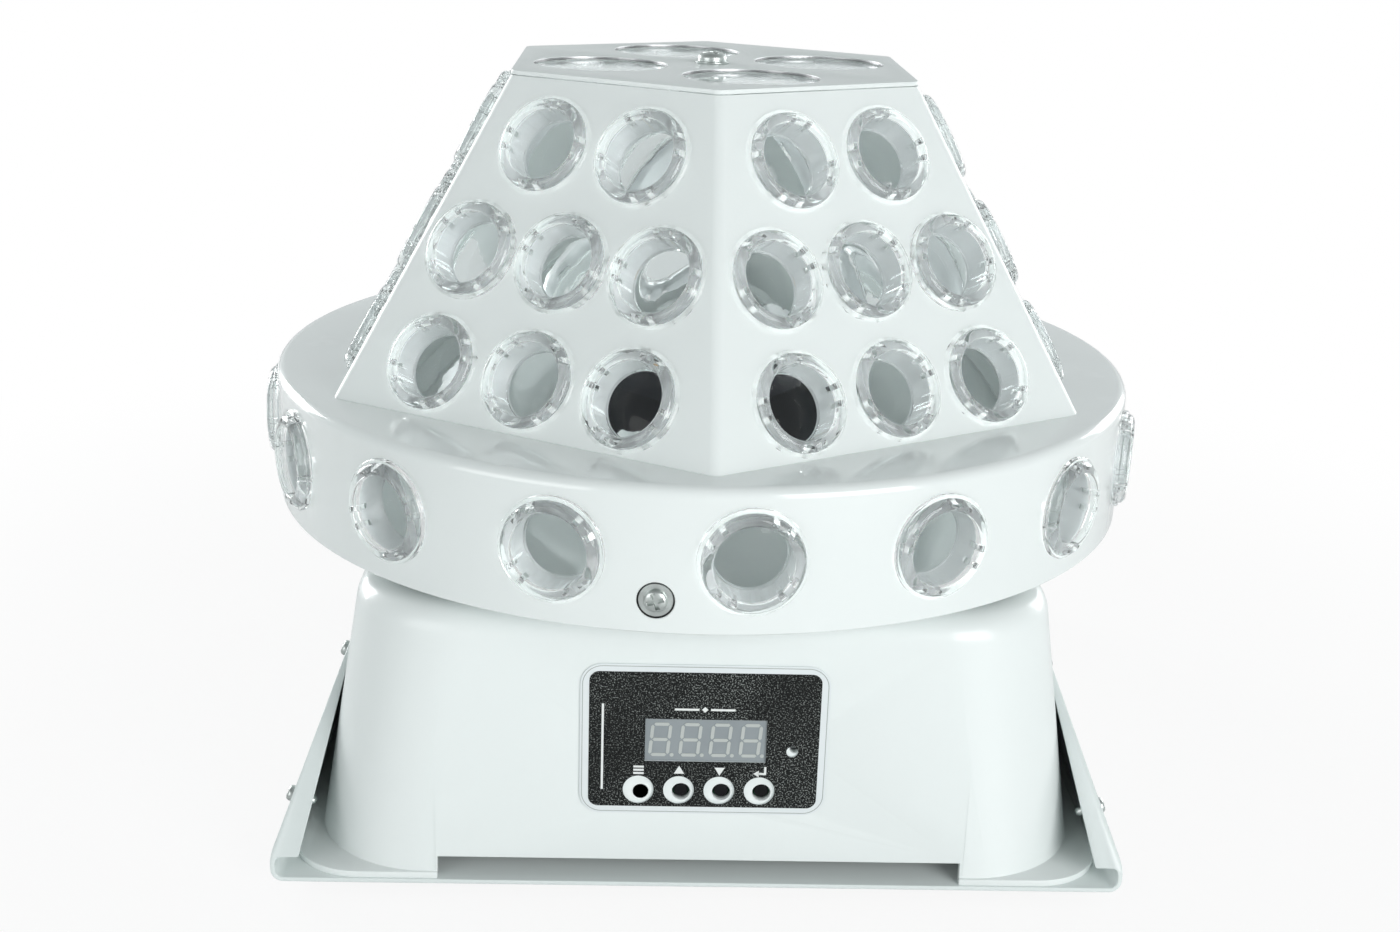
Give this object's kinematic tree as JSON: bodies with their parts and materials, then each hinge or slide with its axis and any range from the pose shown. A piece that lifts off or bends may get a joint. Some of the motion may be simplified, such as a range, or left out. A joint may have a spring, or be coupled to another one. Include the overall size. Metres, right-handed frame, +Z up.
{
  "type": "led disco effect light",
  "caption": "Effect light: a moulded base with a control panel on a steel pan, and a spinning head whose drum and faceted dome hold small clear lenses under a windowed top plate",
  "frame": {"origin": "on the surface that the feet stand on, under the head's shaft, at the middle of the part's box", "axes": "+Z up, the control panel faces -Y, +X to the right of someone who looks at the panel"},
  "size_m": [0.2462, 0.2462, 0.2015],
  "materials": {
    "white_paint": "satin powder coat",
    "white_plastic": "gloss moulded",
    "clear_plastic": "clear moulded",
    "black_plastic": "satin moulded",
    "label_film": "fine grained film",
    "display_face": "grey display face",
    "steel": "zinc plated",
    "bare_aluminium": "machined",
    "bronze": "sintered",
    "circuit_board": "solder mask",
    "rubber": "matt"
  },
  "bodies": {
    "base": {"base_pan": "white_paint", "base_housing": "white_plastic", "control_label": "label_film", "display_module": "display_face", "control_board": "circuit_board", "microphone": "bare_aluminium", "driver_board": "circuit_board", "motor": "steel", "motor_bracket": "steel", "led_column": "bare_aluminium", "shaft_bush": "bronze", "heat_sink": "bare_aluminium", "led_board": "white_plastic", "power_inlet": "black_plastic", "fuse_holder": "black_plastic", "data_in": "black_plastic", "data_out": "black_plastic", "foot_1": "rubber", "foot_2": "rubber", "foot_3": "rubber", "foot_4": "rubber"},
    "head": {"drum_housing": "white_plastic", "drum_tray": "white_paint", "dome_shell": "white_plastic", "top_plate": "white_plastic", "top_screw": "steel", "centre_shaft": "steel", "shaft_coupling": "bare_aluminium", "motor_shaft": "steel", "drum_lens_1": "clear_plastic", "drum_lens_2": "clear_plastic", "drum_lens_3": "clear_plastic", "drum_lens_4": "clear_plastic", "drum_lens_5": "clear_plastic", "drum_lens_6": "clear_plastic", "drum_lens_7": "clear_plastic", "drum_lens_8": "clear_plastic", "drum_lens_9": "clear_plastic", "drum_lens_10": "clear_plastic", "drum_lens_11": "clear_plastic", "drum_lens_12": "clear_plastic", "drum_lens_13": "clear_plastic", "drum_lens_14": "clear_plastic", "drum_lens_15": "clear_plastic", "drum_lens_16": "clear_plastic", "top_lens_1": "clear_plastic", "top_lens_2": "clear_plastic", "top_lens_3": "clear_plastic", "top_lens_4": "clear_plastic"},
    "button_1_body": {"button_1": "black_plastic"},
    "button_2_body": {"button_2": "black_plastic"},
    "button_3_body": {"button_3": "black_plastic"},
    "button_4_body": {"button_4": "black_plastic"}
  },
  "joints": [
    {"name": "head_spin", "type": "hinge", "parent": "base", "child": "head", "pos_m": [0, 0, 0.135], "axis": [0, 0, 1], "continuous": true},
    {"name": "button_1_press", "type": "slide", "parent": "base", "child": "button_1_body", "axis": [0, 1, 0], "range_m": [0, 0.0005], "stiffness_N_per_m": 500},
    {"name": "button_2_press", "type": "slide", "parent": "base", "child": "button_2_body", "axis": [0, 1, 0], "range_m": [0, 0.0005], "stiffness_N_per_m": 500},
    {"name": "button_3_press", "type": "slide", "parent": "base", "child": "button_3_body", "axis": [0, 1, 0], "range_m": [0, 0.0005], "stiffness_N_per_m": 500},
    {"name": "button_4_press", "type": "slide", "parent": "base", "child": "button_4_body", "axis": [0, 1, 0], "range_m": [0, 0.0005], "stiffness_N_per_m": 500}
  ]
}
